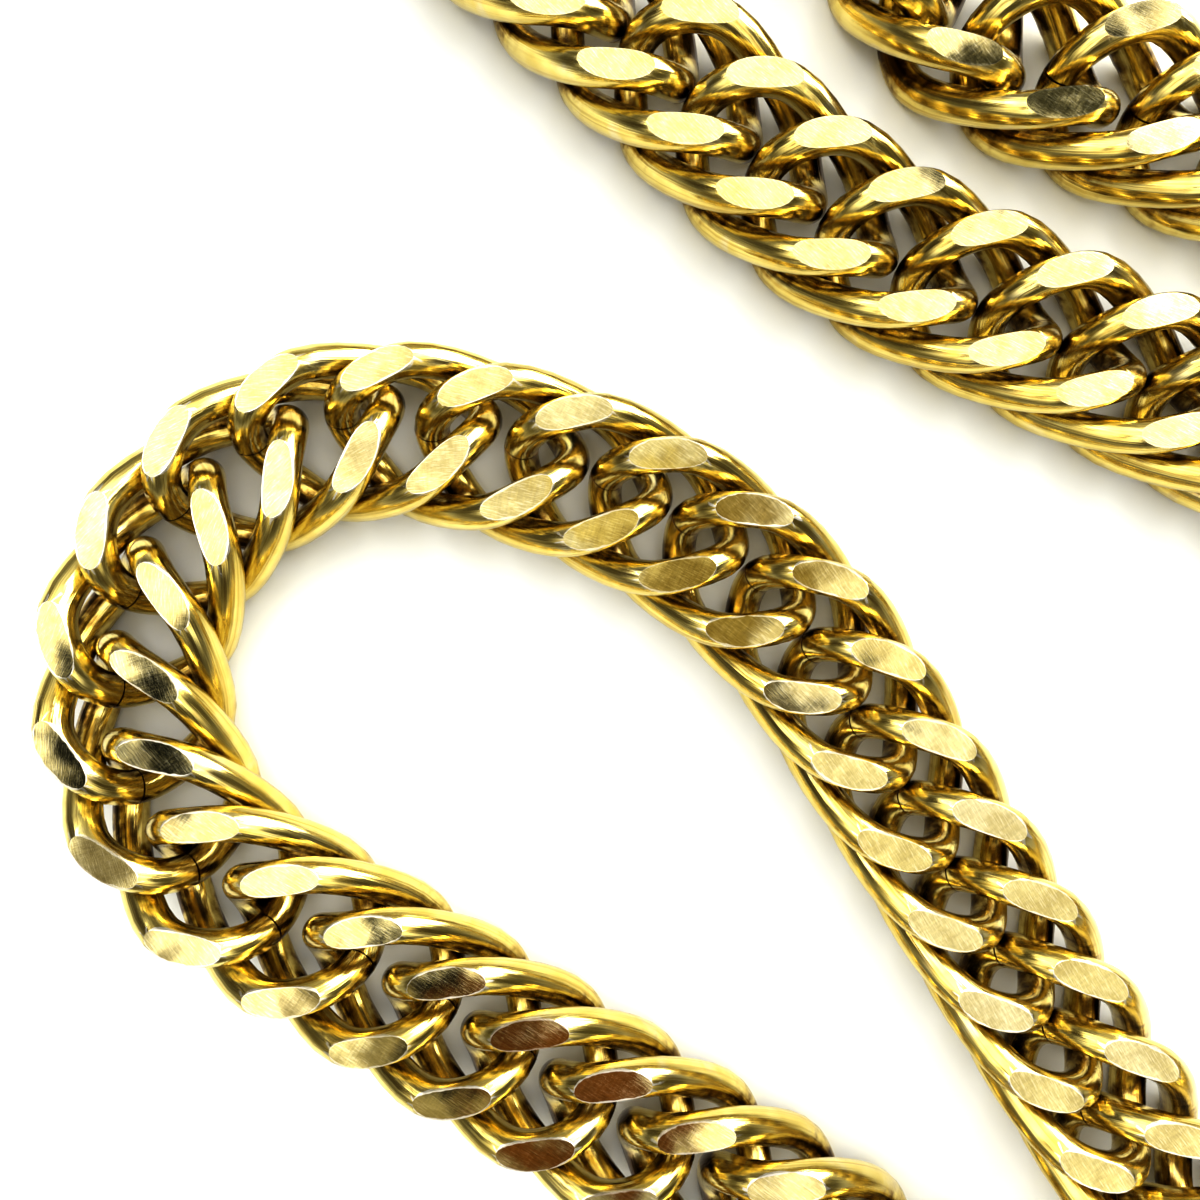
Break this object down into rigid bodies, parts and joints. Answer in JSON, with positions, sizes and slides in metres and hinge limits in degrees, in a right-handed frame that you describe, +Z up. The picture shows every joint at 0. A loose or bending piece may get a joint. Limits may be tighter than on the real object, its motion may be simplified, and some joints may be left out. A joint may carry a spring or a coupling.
{
  "type": "double curb chain necklace",
  "caption": "Heavy gold-tone double curb chain necklace with ground flats, lying in its closed run and joined by a plain box clasp.",
  "frame": {"origin": "centre of the necklace's footprint, on the plane that it lies on", "axes": "+Z up out of the resting plane, +Y along the longer side of the footprint, +X to the right as seen from above"},
  "size_m": [0.1272, 0.1614, 0.0067],
  "materials": {
    "chain_gold": "polished yellow gold plate, worn pale along the rims of the ground flats and brown in the hollows",
    "clasp_gold": "polished yellow gold plate"
  },
  "bodies": {
    "root": {"chain_first_half": "chain_gold", "chain_second_half": "chain_gold", "clasp": "clasp_gold"}
  },
  "joints": []
}
